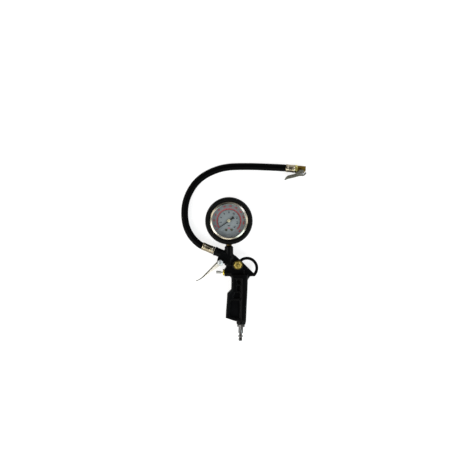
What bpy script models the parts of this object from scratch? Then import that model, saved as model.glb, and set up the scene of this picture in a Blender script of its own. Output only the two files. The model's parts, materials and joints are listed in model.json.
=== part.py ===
"""Hand-held tyre inflator: alloy pistol body, dial gauge in a rubber boot, whip hose and clip-on chuck.

It lies on its side. X is across the grip, Y runs from the inlet nipple up to the gauge, Z is up.
Sizes are in millimetres and are turned into metres where a mesh is made.
"""

import math

import bmesh
import bpy
from mathutils import Matrix, Vector

MM = 0.001

MID_Z = 14.0  # the plane that the gun's bores share
GRIP_HALF = 14.0
HEAD_HALF = 5.4
BOSS_HALF = 9.5  # how far the bleed valve's boss stands out from the middle
LUG_HALF = 6.9

GAUGE = (3.1, 79.5)
BOOT_R = 39.0
BOOT_HIGH = 36.7
CASE_R = 30.2
BEZEL_R = 31.2
WINDOW_R = 27.6
DIAL_Z = 26.0
POINTER_Z = 28.0
POINTER_REST = 216.0
POINTER_SWEEP = 261.0

MODULE = 0.25
PINION_TEETH = 14
SECTOR_RATIO = 8
SECTOR_TEETH = 13
GEAR_CENTRES = MODULE * PINION_TEETH * (1 + SECTOR_RATIO) / 2
SECTOR_PIVOT = (GAUGE[0] + GEAR_CENTRES, GAUGE[1])
SECTOR_SWING = POINTER_SWEEP / SECTOR_RATIO
TAIL_LENGTH = 7.0
LINK_TILT = -10.0

PIVOT = (-11.1, 10.6)
WEB_TURN = 225.7
LEVER_HALF = 8.4
LEVER_SHEET = 1.2

VALVE_Y = -5.2
BLEED = (17.9, 6.85)
LOOP = (32.9, 1.7)
LOOP_OUT, LOOP_IN = 18.66, 13.8

BARREL_END = (-20.7, 30.2)
BARREL_SLOPE = -22.0
INLET = (23.1, -90.3)
INLET_LEAN = -92.4

HOSE_R = 5.8
CHUCK = (123.7, 164.6, 7.4)
CHUCK_SLOPE = -5.0
CLIP_PIVOT = (0.3, -7.4)


for leftover in list(bpy.data.objects):
    bpy.data.objects.remove(leftover, do_unlink=True)


def material(name, colour, metallic, roughness):
    made = bpy.data.materials.new(name)
    made.use_nodes = True
    shader = made.node_tree.nodes["Principled BSDF"]
    shader.inputs["Base Color"].default_value = (*colour, 1.0)
    shader.inputs["Metallic"].default_value = metallic
    shader.inputs["Roughness"].default_value = roughness
    made.diffuse_color = (*colour, 1.0)
    return made


BLACK_PAINT = material("black_coated_alloy", (0.012, 0.012, 0.013), 0.0, 0.42)
RUBBER = material("black_rubber", (0.014, 0.014, 0.014), 0.0, 0.6)
HOSE_RUBBER = material("hose_rubber", (0.012, 0.012, 0.012), 0.0, 0.55)
SEAL = material("seal_rubber", (0.02, 0.02, 0.02), 0.0, 0.7)
BRASS = material("brass", (0.62, 0.42, 0.14), 1.0, 0.3)
NICKEL = material("nickel_plate", (0.62, 0.6, 0.55), 1.0, 0.22)
CHROME = material("chrome", (0.75, 0.75, 0.76), 1.0, 0.08)
STEEL = material("steel", (0.5, 0.5, 0.5), 1.0, 0.35)
DARK_STEEL = material("dark_steel", (0.16, 0.16, 0.16), 1.0, 0.34)
GLASS = material("clear_lens", (0.9, 0.92, 0.93), 0.0, 0.03)
DIAL_WHITE = material("dial_face", (0.72, 0.72, 0.7), 0.0, 0.45)
POINTER_BLACK = material("pointer_black", (0.01, 0.01, 0.01), 0.0, 0.4)


def turn(point, degrees):
    angle = math.radians(degrees)
    c, s = math.cos(angle), math.sin(angle)
    return (point[0] * c - point[1] * s, point[0] * s + point[1] * c)


def shifted(point, by):
    return (point[0] + by[0], point[1] + by[1])


def arc(centre, radius, start, stop, count):
    """Points on an arc, degrees, both ends in."""
    steps = [start + (stop - start) * k / (count - 1) for k in range(count)]
    return [shifted(turn((radius, 0), a), centre) for a in steps]


def rounded(outline, radius, count=3):
    """The outline with each corner turned into a short arc."""
    done = []
    for k, here in enumerate(outline):
        corner = Vector(here)
        back = Vector(outline[k - 1]) - corner
        on = Vector(outline[(k + 1) % len(outline)]) - corner
        half = back.angle(on) / 2
        reach = min(radius / math.tan(half), 0.45 * back.length, 0.45 * on.length)
        a, b = corner + back.normalized() * reach, corner + on.normalized() * reach
        for j in range(count):
            t = j / (count - 1)
            done.append(tuple(a * (1 - t) ** 2 + corner * 2 * t * (1 - t) + b * t * t))
    return done


def solid(name, mat, points, faces):
    """A closed mesh object with its faces turned outwards."""
    mesh = bpy.data.meshes.new(name)
    mesh.from_pydata([Vector(p) * MM for p in points], [], faces)
    work = bmesh.new()
    work.from_mesh(mesh)
    bmesh.ops.recalc_face_normals(work, faces=work.faces)
    work.to_mesh(mesh)
    work.free()
    mesh.materials.append(mat)
    made = bpy.data.objects.new(name, mesh)
    bpy.context.scene.collection.objects.link(made)
    return made


def frame_along(axis):
    """Axes whose Z is axis and whose X lies level."""
    way = Vector(axis).normalized()
    side = Vector((1, 0, 0)) if abs(way.z) > 0.99 else Vector((0, 0, 1)).cross(way).normalized()
    return Matrix((side, way.cross(side), way)).transposed()


def turned(name, mat, profile, base, axis=(0, 0, 1), steps=32, phase=0.0):
    """A body of revolution from (radius, height) pairs along axis, from base."""
    frame = frame_along(axis)
    points, rings = [], []
    for radius, height in profile:
        first = len(points)
        if radius < 1e-6:
            points.append(Vector(base) + frame @ Vector((0, 0, height)))
            rings.append([first] * steps)
            continue
        for k in range(steps):
            x, y = turn((radius, 0), phase + 360 * k / steps)
            points.append(Vector(base) + frame @ Vector((x, y, height)))
        rings.append([first + k for k in range(steps)])
    faces = []
    for i, ring in enumerate(rings):
        after = rings[(i + 1) % len(rings)]
        if ring[0] == ring[1] and after[0] == after[1]:
            continue
        for k in range(steps):
            n = (k + 1) % steps
            corners = dict.fromkeys([ring[k], ring[n], after[n], after[k]])
            faces.append(list(corners))
    return solid(name, mat, points, faces)


def rod(name, mat, radius, base, axis, start, stop, steps=24, phase=0.0):
    profile = [(0, start), (radius, start), (radius, stop), (0, stop)]
    return turned(name, mat, profile, base, axis, steps, phase)


def inset(outline, by):
    """The outline drawn in by a set distance along each side, with mitred corners."""
    sides = zip(outline, outline[1:] + outline[:1])
    way = math.copysign(1, sum(a[0] * b[1] - b[0] * a[1] for a, b in sides))
    drawn = []
    for k, here in enumerate(outline):
        corner = Vector(here)
        before = (corner - Vector(outline[k - 1])).normalized()
        after = (Vector(outline[(k + 1) % len(outline)]) - corner).normalized()
        normal = Vector((-before.y - after.y, before.x + after.x)).normalized() * way
        lean = max(0.3, normal.dot(Vector((-after.y, after.x)) * way))
        drawn.append(tuple(corner + normal * by / lean))
    return drawn


def slab(name, mat, outline, low, high, edge=0.0, segments=2):
    """An outline in X and Y raised from low to high, its rims rounded by edge."""
    layers = [(0.0, 0.0)]
    if edge:
        turns = [math.pi / 2 * k / segments for k in range(segments + 1)]
        layers = [(edge * (1 - math.sin(a)), edge * (1 - math.cos(a))) for a in turns]
    count = len(outline)
    levels = [(by, low + up) for by, up in layers]
    levels += [(by, high - up) for by, up in reversed(layers)]
    points = []
    for by, z in levels:
        points += [(x, y, z) for x, y in (inset(outline, by) if by > 1e-6 else outline)]
    faces = [list(range(count)), list(range(len(points) - count, len(points)))]
    for level in range(len(levels) - 1):
        first = level * count
        for k in range(count):
            n = (k + 1) % count
            faces.append([first + k, first + n, first + count + n, first + count + k])
    return solid(name, mat, points, faces)


def block(name, mat, low, high, edge=0.0):
    outline = [(low[0], low[1]), (high[0], low[1]), (high[0], high[1]), (low[0], high[1])]
    return slab(name, mat, outline, low[2], high[2], edge, 1)


def combine(target, others, operation):
    """Adds others to target (UNION) or takes them from it (DIFFERENCE)."""
    for other in others:
        step = target.modifiers.new("step", "BOOLEAN")
        step.operation, step.solver, step.object = operation, "EXACT", other
        graph = bpy.context.evaluated_depsgraph_get()
        mesh = bpy.data.meshes.new_from_object(target.evaluated_get(graph))
        target.modifiers.clear()
        target.data = mesh
        bpy.data.objects.remove(other, do_unlink=True)
    work = bmesh.new()
    work.from_mesh(target.data)
    bmesh.ops.remove_doubles(work, verts=work.verts, dist=0.000001)
    bmesh.ops.dissolve_degenerate(work, edges=work.edges, dist=0.0000005)
    work.to_mesh(target.data)
    work.free()
    return target


def wire(name, mat, route, radius, sides=6):
    """A round wire along route with closed ends, its frame carried along without twist."""
    route = [Vector(p) for p in route]
    points, faces = [], []
    way = (route[1] - route[0]).normalized()
    side = way.orthogonal().normalized()
    for k, here in enumerate(route):
        after = route[min(k + 1, len(route) - 1)] - route[max(k - 1, 0)]
        new_way = after.normalized()
        side = (side - new_way * side.dot(new_way)).normalized()
        up = new_way.cross(side)
        for j in range(sides):
            a = 2 * math.pi * j / sides
            points.append(here + (side * math.cos(a) + up * math.sin(a)) * radius)
    for k in range(len(route) - 1):
        for j in range(sides):
            n = (j + 1) % sides
            first, second = k * sides, (k + 1) * sides
            faces.append([first + j, first + n, second + n, second + j])
    faces.append(list(range(sides)))
    faces.append([len(points) - sides + j for j in range(sides)])
    return solid(name, mat, points, faces)


def coil(base, axis, radius, length, turns, per_turn=12, lead=0.0):
    """Points of a helix along axis from base; lead turns it round at its start."""
    frame = frame_along(axis)
    count = int(abs(turns) * per_turn) + 1
    route = []
    for k in range(count):
        t = k / (count - 1)
        x, y = turn((radius, 0), lead + 360 * turns * t)
        route.append(Vector(base) + frame @ Vector((x, y, length * t)))
    return route


def smooth(made, angle=32):
    for face in made.data.polygons:
        face.use_smooth = True
    made.data.set_sharp_from_angle(angle=math.radians(angle))


def flat_axis(slope):
    x, y = turn((1, 0), slope)
    return (x, y, 0)


# ---- alloy body -------------------------------------------------------------------

barrel_axis = flat_axis(BARREL_SLOPE)
barrel_base = (*BARREL_END, MID_Z)
inlet_axis = flat_axis(INLET_LEAN)
inlet_base = (*INLET, MID_Z)

grip = [
    (7.2, -9.0), (6.9, -33.2), (0.2, -39.8), (-0.3, -51.1), (-1.6, -67.6), (-2.3, -80.0),
    (13.6, -85.2), (31.2, -87.0), (32.0, -67.6), (33.6, -34.6), (34.3, -9.0),
]
head = [
    (9.5, 24.0), (14.0, 22.2), (20.6, 16.2), (26.3, 10.8), (46.9, -9.6), (46.3, -11.8),
    (37.9, -12.0), (34.2, -17.6), (7.2, -16.5), (6.6, -13.8), (5.2, -12.2), (1.0, -9.5),
    (-4.0, -6.5), (-4.0, -1.0), (-1.4, 5.5),
    (-2.6, 9.0), (-2.6, 22.0),
]
stop_inner = shifted(turn((1.65, -3.8), WEB_TURN), PIVOT)
stop_outer = shifted(turn((1.65, -6.0), WEB_TURN), PIVOT)
lug = [
    stop_outer, stop_inner, *arc(PIVOT, 3.5, 165, 345, 10), (0.0, 8.0), (4.0, 20.0),
    (-8.0, 25.0), (-14.4, 21.5), (-16.2, 15.4),
]

body = slab("body_casting", BLACK_PAINT, grip, 0, 2 * GRIP_HALF, 2.6)
parts = [
    slab("h", BLACK_PAINT, head, MID_Z - HEAD_HALF, MID_Z + HEAD_HALF, 1.2, 1),
    slab("l", BLACK_PAINT, lug, MID_Z - LUG_HALF, MID_Z + LUG_HALF),
    turned(
        "p", BLACK_PAINT, [(0, 6), (7.2, 6), (7.2, 35.8), (6.9, 36.9), (5.9, 38.0), (0, 38.0)],
        (GAUGE[0], 0, MID_Z), (0, 1, 0), 24,
    ),
    turned(
        "b", BLACK_PAINT,
        [(0, 0), (7.0, 0), (7.6, 0.5), (7.6, 2.6), (7.1, 3.1), (7.1, 30), (3.4, 40), (0, 40)],
        barrel_base, barrel_axis, 24,
    ),
    rod("v", BLACK_PAINT, 6.9, (0, VALVE_Y, MID_Z), (1, 0, 0), -4.2, 28, 24, 3),
    slab(
        "r", BLACK_PAINT,
        arc(LOOP, LOOP_OUT, 138, -46, 20) + arc(LOOP, LOOP_IN, -50, 142, 18),
        MID_Z - 4, MID_Z + 4, 1.1,
    ),
    rod("i", BLACK_PAINT, 7.7, inlet_base, inlet_axis, -8, 0, 24, 4),
    rod("e", BLACK_PAINT, 8.2, (*BLEED, 0), (0, 0, 1), MID_Z - BOSS_HALF, MID_Z + BOSS_HALF, 24),
]
combine(body, parts, "UNION")

panel = [
    (9.7, -15.8), (9.4, -34.2), (2.9, -41.0), (2.3, -51.2), (1.0, -67.4), (0.4, -77.6),
    (1.6, -79.6), (14.4, -82.8), (23.0, -83.6), (23.4, -67.4), (24.4, -34.0), (24.8, -15.8),
]
pockets = [
    [(15.6, -17.2), (22.6, -17.2), (22.6, -24.4), (15.6, -24.4)],
    [(15.6, -26.4), (22.4, -26.4), (22.2, -36.0), (15.6, -36.0)],
    [(12.6, -38.0), (22.1, -38.0), (21.9, -48.0), (9.0, -48.0)],
    [(5.2, -50.6), (21.8, -50.6), (21.2, -80.2), (14.4, -80.6), (3.5, -78.0), (4.0, -67.4)],
]
cutters = []
for side in (0, 1):
    faces_at = [(-1, 1.1), (-1, 5.6)] if side == 0 else [(26.9, 29), (22.4, 29)]
    cutters.append(slab("c", BLACK_PAINT, panel, *faces_at[0]))
    cutters += [slab("c", BLACK_PAINT, rounded(p, 1.4, 2), *faces_at[1]) for p in pockets]
cutters += [
    rod("c", BLACK_PAINT, 4.3, (0, VALVE_Y, MID_Z), (1, 0, 0), -6, 25, 20, 5),
    turned(
        "c", BLACK_PAINT, [(0, -3), (2.5, -3), (2.5, 27.5), (4.5, 27.5), (4.5, 40), (0, 40)],
        (GAUGE[0], 0, MID_Z), (0, 1, 0), 20, 7,
    ),
    turned(
        "c", BLACK_PAINT, [(0, -2), (4.5, -2), (4.5, 10), (2.2, 10), (2.2, 24.8), (0, 24.8)],
        barrel_base, barrel_axis, 20, 4,
    ),
    rod("c", BLACK_PAINT, 4.5, (*BLEED, 0), (0, 0, 1), 8, 26, 20, 3),
    rod("c", BLACK_PAINT, 1.5, (0, BLEED[1], MID_Z), (1, 0, 0), GAUGE[0], 15, 10, 11),
    rod("c", BLACK_PAINT, 4.8, inlet_base, inlet_axis, -12, 2, 20, 5),
    rod("c", BLACK_PAINT, 2.3, (21.6, 0, MID_Z), (0.02, -1, 0), 3, 82, 14, 9),
    rod("c", BLACK_PAINT, 2.6, (*PIVOT, 0), (0, 0, 1), 0, 30, 18, 6),
    rod("c", BLACK_PAINT, 5.4, (*PIVOT, 0), (0, 0, 1), 5, 9.9, 22, 2),
]
combine(body, cutters, "DIFFERENCE")
smooth(body, 28)

# ---- trigger ----------------------------------------------------------------------


def on_lever(along, out):
    """A point in the lever's own frame: along the web, and out on its finger side."""
    return shifted(turn((along, -out), WEB_TURN), PIVOT)


web_outer = [(2.0, -5.0), (36.0, -5.0), (40.0, -5.3), (44.0, -6.2), (47.2, -7.3), (49.3, -8.4)]
web_inner = [(49.8, -7.3), (47.6, -6.15), (44.2, -5.0), (40.2, -4.1), (36.0, -3.8), (2.0, -3.8)]
web = [on_lever(a, -n) for a, n in web_outer + web_inner]
eye = [shifted(turn((4.8, 0), a), PIVOT) for a in (150, 120, 90, 60, 30, 0, -30, -60, -92)]
flange = [
    on_lever(2.0, 5.0), *eye, on_lever(20.0, 0.1), on_lever(34.0, 2.6), on_lever(43.0, 4.4),
    on_lever(47.4, 6.3), on_lever(48.6, 7.8), on_lever(44.0, 6.1), on_lever(40.0, 5.2),
    on_lever(36.0, 4.95),
]
lever = slab(
    "trigger_lever", NICKEL, web, MID_Z - LEVER_HALF, MID_Z + LEVER_HALF, 0.3, 1
)
inner = LEVER_HALF - LEVER_SHEET
cheeks = [
    slab("c", NICKEL, flange, MID_Z + inner, MID_Z + LEVER_HALF, 0.3, 1),
    slab("c", NICKEL, flange, MID_Z - LEVER_HALF, MID_Z - inner, 0.3, 1),
]
combine(lever, cheeks, "UNION")
combine(lever, [rod("c", NICKEL, 2.6, (*PIVOT, 0), (0, 0, 1), 0, 30, 20)], "DIFFERENCE")
smooth(lever)

front = MID_Z + LEVER_HALF
screw = [
    (0, 1.5), (2.3, 1.5), (2.3, front + 0.3), (4.85, front + 0.3), (4.85, front + 1.3),
    (4.2, front + 2.3), (2.8, front + 3.0), (0, front + 3.3),
]
smooth(turned("trigger_pivot_screw", CHROME, screw, (*PIVOT, 0), steps=22))
nut_face = MID_Z - LEVER_HALF - 0.3
pivot_nut = turned(
    "trigger_pivot_nut", STEEL,
    [(3.0, nut_face - 3.2), (4.6, nut_face - 3.2), (4.6, nut_face), (3.0, nut_face)],
    (*PIVOT, 0), steps=6,
)
smooth(pivot_nut)

loop_turns = coil((*PIVOT, 7.75), (0, 0, 1), 3.3, 1.6, -1.75, 16, WEB_TURN - 90)
first_leg = [(*on_lever(a, 3.15), 7.75) for a in (13.0, 9.0, 5.0, 2.0)]
last = loop_turns[-1]
out = Vector((last.x - PIVOT[0], last.y - PIVOT[1], 0)).normalized()
smooth(wire("trigger_spring", STEEL, [*first_leg, *loop_turns, last + out * 1.3], 0.4), 60)

# ---- valve ------------------------------------------------------------------------

valve_base = (0, VALVE_Y, MID_Z)
ALONG_X = (1, 0, 0)
pin = [
    (0, -18.2), (1.6, -18.1), (2.2, -17.7), (2.35, -17.0), (2.35, -10.0), (1.15, -10.0),
    (1.15, 9.7), (0, 9.7),
]
smooth(turned("valve_pin", CHROME, pin, valve_base, ALONG_X, 20))
gland = [
    (1.5, -6.85), (4.9, -6.85), (5.45, -6.3), (5.45, -4.5), (4.0, -4.5), (4.0, -0.5),
    (1.5, -0.5),
]
smooth(turned("valve_gland", BRASS, gland, valve_base, ALONG_X, 24))
packing = [(1.45, -0.2), (3.7, -0.2), (4.0, 0.1), (4.0, 0.3), (1.45, 0.3)]
smooth(turned("valve_packing", SEAL, packing, valve_base, ALONG_X, 20))
seat = [(2.1, 7.0), (4.0, 7.0), (4.0, 10.0), (2.6, 10.0), (2.1, 9.4)]
smooth(turned("valve_seat", BRASS, seat, valve_base, ALONG_X, 20))
poppet = [
    (0, 10.3), (3.3, 10.3), (3.3, 12.0), (2.0, 12.0), (1.3, 12.4), (1.3, 15.0), (0, 15.0),
]
smooth(turned("valve_poppet", SEAL, poppet, valve_base, ALONG_X, 20))
spring_route = coil((12.9, VALVE_Y, MID_Z), ALONG_X, 2.6, 11.4, 6, 10)
smooth(wire("valve_spring", STEEL, spring_route, 0.35, 5), 60)

# ---- bleed valve ------------------------------------------------------------------

face = MID_Z + BOSS_HALF
bleed_base = (*BLEED, 0)
shell = [
    (1.5, 12.5), (4.1, 12.5), (4.1, face + 0.3), (7.25, face + 0.3), (7.25, face + 1.3),
    (6.8, face + 1.8), (2.0, face + 1.8), (2.0, 20.2), (1.5, 20.2),
]
bleed_body = turned("bleed_valve_body", BRASS, shell, bleed_base, steps=24)
cap = [(0, face + 1.4), (6.05, face + 1.4), (6.05, face + 5.0), (5.3, face + 5.7), (0, face + 5.7)]
cap_hex = turned("c", BRASS, cap, bleed_base, steps=6, phase=8)
combine(bleed_body, [cap_hex], "UNION")
combine(bleed_body, [rod("c", BRASS, 2.5, bleed_base, (0, 0, 1), 20.2, 40, 16)], "DIFFERENCE")
smooth(bleed_body)
button = [
    (0, 12.0), (0.9, 12.0), (0.9, 26.4), (2.2, 26.4), (2.2, face + 6.9), (1.8, face + 7.3),
    (0, face + 7.5),
]
smooth(turned("bleed_button", BRASS, button, bleed_base, steps=16))
disc = [(0, 9.9), (2.9, 9.9), (2.9, 11.5), (1.5, 11.7), (0, 11.7)]
smooth(turned("bleed_seal", SEAL, disc, bleed_base, steps=16))
bleed_spring = coil((*BLEED, 20.8), (0, 0, 1), 1.7, 5.1, 4, 10)
smooth(wire("bleed_spring", STEEL, bleed_spring, 0.25, 5), 60)

# ---- inlet ------------------------------------------------------------------------

washer = [(5.1, 0.3), (7.2, 0.3), (7.2, 1.1), (5.1, 1.1)]
smooth(turned("inlet_washer", SEAL, washer, inlet_base, inlet_axis, 28))
nipple = [
    (2.0, -10.0), (4.4, -10.0), (4.4, 1.4), (4.4, 4.0), (3.95, 5.0), (3.95, 14.8),
    (2.6, 16.2), (2.5, 17.2), (2.7, 18.2), (3.7, 19.2), (3.95, 20.2), (3.7, 21.2), (2.7, 22.2),
    (2.6, 23.0), (3.1, 24.2), (3.1, 27.2), (2.3, 28.13), (1.6, 28.13),
]
inlet = turned("inlet_nipple", DARK_STEEL, nipple, inlet_base, inlet_axis, 18)
hex_nut = [(3.0, 1.4), (6.6, 1.4), (7.16, 2.0), (7.16, 4.3), (6.6, 4.9), (3.0, 4.9)]
combine(inlet, [turned("c", DARK_STEEL, hex_nut, inlet_base, inlet_axis, 6, 30)], "UNION")
smooth(inlet)

# ---- gauge ------------------------------------------------------------------------

gauge_base = (*GAUGE, 0)
stem_hole = rod("c", RUBBER, 5.4, (GAUGE[0], 0, MID_Z), (0, 1, 0), 36, 60, 20)
boot = [
    (0, 0), (34.0, 0), (36.3, 0.7), (38.0, 2.4), (38.8, 5.0), (39.0, 8.0), (39.0, 29.0),
    (38.7, 32.0), (37.8, 34.6), (36.3, 36.2), (34.6, BOOT_HIGH), (33.0, 36.2), (31.9, 35.0),
    (31.5, 33.4), (31.5, 3.6), (0, 3.6),
]
gauge_boot = turned("gauge_boot", RUBBER, boot, gauge_base, steps=44)
combine(gauge_boot, [stem_hole], "DIFFERENCE")
smooth(gauge_boot, 40)

case = [(0, 4.0), (CASE_R, 4.0), (CASE_R, 31.9), (29.2, 31.9), (29.2, 5.0), (0, 5.0)]
gauge_case = turned("gauge_case", BLACK_PAINT, case, gauge_base, steps=40)
case_hole = rod("c", RUBBER, 5.4, (GAUGE[0], 0, MID_Z), (0, 1, 0), 36, 60, 20)
combine(gauge_case, [case_hole], "DIFFERENCE")
smooth(gauge_case)
bezel = [
    (30.5, 24.0), (BEZEL_R, 24.0), (BEZEL_R, 34.9), (30.6, 35.6), (29.0, 35.8),
    (WINDOW_R, 35.2), (WINDOW_R, 34.5), (30.5, 34.5),
]
smooth(turned("gauge_bezel", CHROME, bezel, gauge_base, steps=44))
lens = [(0, 32.2), (30.1, 32.2), (30.1, 34.2), (0, 34.2)]
smooth(turned("gauge_lens", GLASS, lens, gauge_base, steps=40))
gasket = [(27.8, 30.6), (28.9, 30.6), (28.9, 31.9), (27.8, 31.9)]
smooth(turned("lens_gasket", SEAL, gasket, gauge_base, steps=32))

SCREWS = [shifted(GAUGE, (x, -14.9)) for x in (-4.45, 4.45)]
dial = turned(
    "dial_plate", DIAL_WHITE,
    [(2.6, DIAL_Z), (28.6, DIAL_Z), (28.6, DIAL_Z + 0.6), (2.6, DIAL_Z + 0.6)],
    gauge_base, steps=40,
)
combine(dial, [rod("c", DIAL_WHITE, 1.2, (*s, 0), (0, 0, 1), 20, 30, 12) for s in SCREWS], "DIFFERENCE")
smooth(dial)
for number, place in enumerate(SCREWS, 1):
    outline = [(0, 21.5), (0.9, 21.5), (0.9, 26.9), (2.0, 26.9), (2.0, 27.4), (1.6, 27.8), (0, 27.8)]
    head_screw = turned(f"dial_screw_{number}", STEEL, outline, (*place, 0), steps=16)
    x, y = place
    slot = block("c", STEEL, (x - 3, y - 0.25, 27.35), (x + 3, y + 0.25, 29))
    combine(head_screw, [slot], "DIFFERENCE")
    smooth(head_screw)

socket = turned(
    "stem_socket", BRASS,
    [(1.5, 28.3), (4.2, 28.3), (4.2, 37.0), (4.2, 38.3), (4.95, 38.3), (4.95, 54), (1.5, 54)],
    (GAUGE[0], 0, MID_Z), (0, 1, 0), 20,
)
x, y = GAUGE
socket_block = block("c", BRASS, (x - 7, y - 28, 8.5), (x + 7, y - 12.6, 25.7), 0.6)
combine(socket, [socket_block], "UNION")
combine(
    socket,
    [rod("c", BRASS, 1.2, (*s, 0), (0, 0, 1), 21, 30, 12) for s in SCREWS]
    + [rod("c", BRASS, 1.5, (x, 0, MID_Z), (0, 1, 0), 20, 62, 12)],
    "DIFFERENCE",
)
smooth(socket)

# Bourdon tube: a flattened tube wound from the socket block over the top to the right
tube_points, tube_faces = [], []
TUBE_TURNS = 34
for k in range(TUBE_TURNS + 1):
    angle = 250.0 - 264.0 * k / TUBE_TURNS
    for radial, high in ((20.6, 10.4), (21.2, 9.6), (22.8, 9.6), (23.4, 10.4),
                         (23.4, 17.6), (22.8, 18.4), (21.2, 18.4), (20.6, 17.6)):
        px, py = shifted(turn((radial, 0), angle), GAUGE)
        tube_points.append((px, py, high))
for k in range(TUBE_TURNS):
    for j in range(8):
        n = (j + 1) % 8
        tube_faces.append([8 * k + j, 8 * k + n, 8 * k + 8 + n, 8 * k + 8 + j])
tube_faces += [list(range(8)), [8 * TUBE_TURNS + j for j in range(8)]]
bourdon = solid("bourdon_tube", BRASS, tube_points, tube_faces)
rest_tail = shifted(turn((TAIL_LENGTH, 0), -100 - SECTOR_SWING / 2), SECTOR_PIVOT)
tip_pin = shifted(turn((6.0, 0), LINK_TILT), rest_tail)
tube_end = shifted(turn((22.0, 0), -13.0), GAUGE)
lug_line = [(-1.3, -1.0), (-0.9, 1.1), (3.6, 2.4), (3.9, -0.4)]
tip_lug = slab("c", BRASS, [shifted(p, tip_pin) for p in lug_line], 12.4, 15.6)
tip_post = rod("c", BRASS, 0.5, (*tip_pin, 0), (0, 0, 1), 15.0, 18.0, 10)
combine(bourdon, [tip_lug, tip_post], "UNION")
smooth(bourdon)


def involute(value):
    return math.tan(value) - value


def tooth(pitch, base, root, tip, thick, centre, flip):
    """Half of a gear tooth's side as (radius, angle), root to tip or back."""
    rows = []
    for radius in (root, pitch, tip):
        at = max(radius, base)
        half = thick / 2 / pitch + involute(math.acos(base / pitch))
        half -= involute(math.acos(min(1.0, base / at)))
        rows.append((radius, centre + (half if flip else -half)))
    return rows[::-1] if flip else rows


def gear_side(teeth_round, count, first, outward):
    """The toothed edge: count teeth of teeth_round, the first centred at first (radians)."""
    pitch = MODULE * teeth_round / 2
    base = pitch * math.cos(math.radians(20))
    root, tip = pitch - 1.25 * MODULE, pitch + outward * MODULE
    edge = []
    for k in range(count):
        centre = first + 2 * math.pi * k / teeth_round
        edge += tooth(pitch, base, root, tip, 0.30, centre, False)
        edge += tooth(pitch, base, root, tip, 0.30, centre, True)
    return [(r * math.cos(a), r * math.sin(a)) for r, a in edge]


pitch_angle = 360 / PINION_TEETH
pinion_edge = gear_side(
    PINION_TEETH, PINION_TEETH, math.radians(pitch_angle / 2 + POINTER_SWEEP / 2), 0.9
)
arbor = slab("pinion_arbor", STEEL, [shifted(p, GAUGE) for p in pinion_edge], 13.4, 16.4)
shaft = rod("c", STEEL, 0.6, gauge_base, (0, 0, 1), 9.0, 29.6, 12)
combine(arbor, [shaft], "UNION")
smooth(arbor)

SECTOR_ROUND = PINION_TEETH * SECTOR_RATIO
middle = 180 - SECTOR_SWING / 2
step = 360 / SECTOR_ROUND
first_tooth = middle - step * (SECTOR_TEETH - 1) / 2
toothed = gear_side(SECTOR_ROUND, SECTOR_TEETH, math.radians(first_tooth), 0.9)
half = step * SECTOR_TEETH / 2
inner_arc = arc((0, 0), 11.2, middle + half, middle - half, 8)
rim = slab(
    "sector_gear", BRASS, [shifted(p, SECTOR_PIVOT) for p in toothed + inner_arc], 14.2, 15.6
)
spoke = [(0.5, 1.0), (11.8, 3.6), (11.8, -3.6), (0.5, -1.0)]
tail = [(0, 0.8), (TAIL_LENGTH + 1, 0.8), (TAIL_LENGTH + 1, -0.8), (0, -0.8)]
tail_turn = -100 - SECTOR_SWING / 2
arms = [
    slab("c", BRASS, [shifted(turn(p, middle), SECTOR_PIVOT) for p in spoke], 14.2, 15.6),
    slab("c", BRASS, [shifted(turn(p, tail_turn), SECTOR_PIVOT) for p in tail], 14.2, 15.6),
    rod("c", BRASS, 1.9, (*SECTOR_PIVOT, 0), (0, 0, 1), 13.6, 16.2, 16),
    rod("c", BRASS, 0.7, (*SECTOR_PIVOT, 0), (0, 0, 1), 9.0, 21.6, 12),
    rod("c", BRASS, 0.5, (*rest_tail, 0), (0, 0, 1), 15.0, 18.0, 10),
]
combine(rim, arms, "UNION")
smooth(rim)

link_line = [(-1.7, 0.8), (-1.7, -0.8), (7.7, -0.8), (7.7, 0.8)]
link = slab(
    "link_rod", STEEL,
    rounded([shifted(turn(p, LINK_TILT), rest_tail) for p in link_line], 0.8), 16.5, 17.3,
)
eyes = [
    rod("c", STEEL, 1.7, (*rest_tail, 0), (0, 0, 1), 16.5, 17.3, 14),
    rod("c", STEEL, 1.7, (*tip_pin, 0), (0, 0, 1), 16.5, 17.3, 14),
]
combine(link, eyes, "UNION")
holes = [rod("c", STEEL, 0.95, (*p, 0), (0, 0, 1), 10, 20, 12) for p in (rest_tail, tip_pin)]
combine(link, holes, "DIFFERENCE")
smooth(link)

plate_line = [
    (-7.0, -12.2), (7.2, -12.2), (8.6, -4.0), (16.6, -2.8), (18.6, 0), (16.6, 2.8),
    (8.0, 5.2), (-5.2, 6.4), (-7.4, 3.0),
]
plate_line = rounded([shifted(p, GAUGE) for p in plate_line], 1.6)
POSTS = [shifted(GAUGE, p) for p in ((-5.0, 4.0), (-4.8, -9.6), (4.4, -10.4))]
for name, low, high in (("movement_back_plate", 10.6, 11.6), ("movement_front_plate", 20.2, 21.2)):
    plate = slab(name, BRASS, plate_line, low, high)
    holes = [
        rod("c", BRASS, 0.9, gauge_base, (0, 0, 1), 5, 30, 12),
        rod("c", BRASS, 1.0, (*SECTOR_PIVOT, 0), (0, 0, 1), 5, 30, 12),
    ]
    combine(plate, holes, "DIFFERENCE")
    smooth(plate)
for number, place in enumerate(POSTS, 1):
    smooth(rod(f"movement_post_{number}", BRASS, 1.2, (*place, 0), (0, 0, 1), 11.9, 19.9, 14))

spiral = []
for k in range(49):
    t = k / 48
    spiral.append((*shifted(turn((1.3 + 2.9 * t, 0), 360 * 3.5 * t), GAUGE), 18.4))
smooth(wire("hairspring", BRASS, spiral, 0.13, 4), 80)

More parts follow.
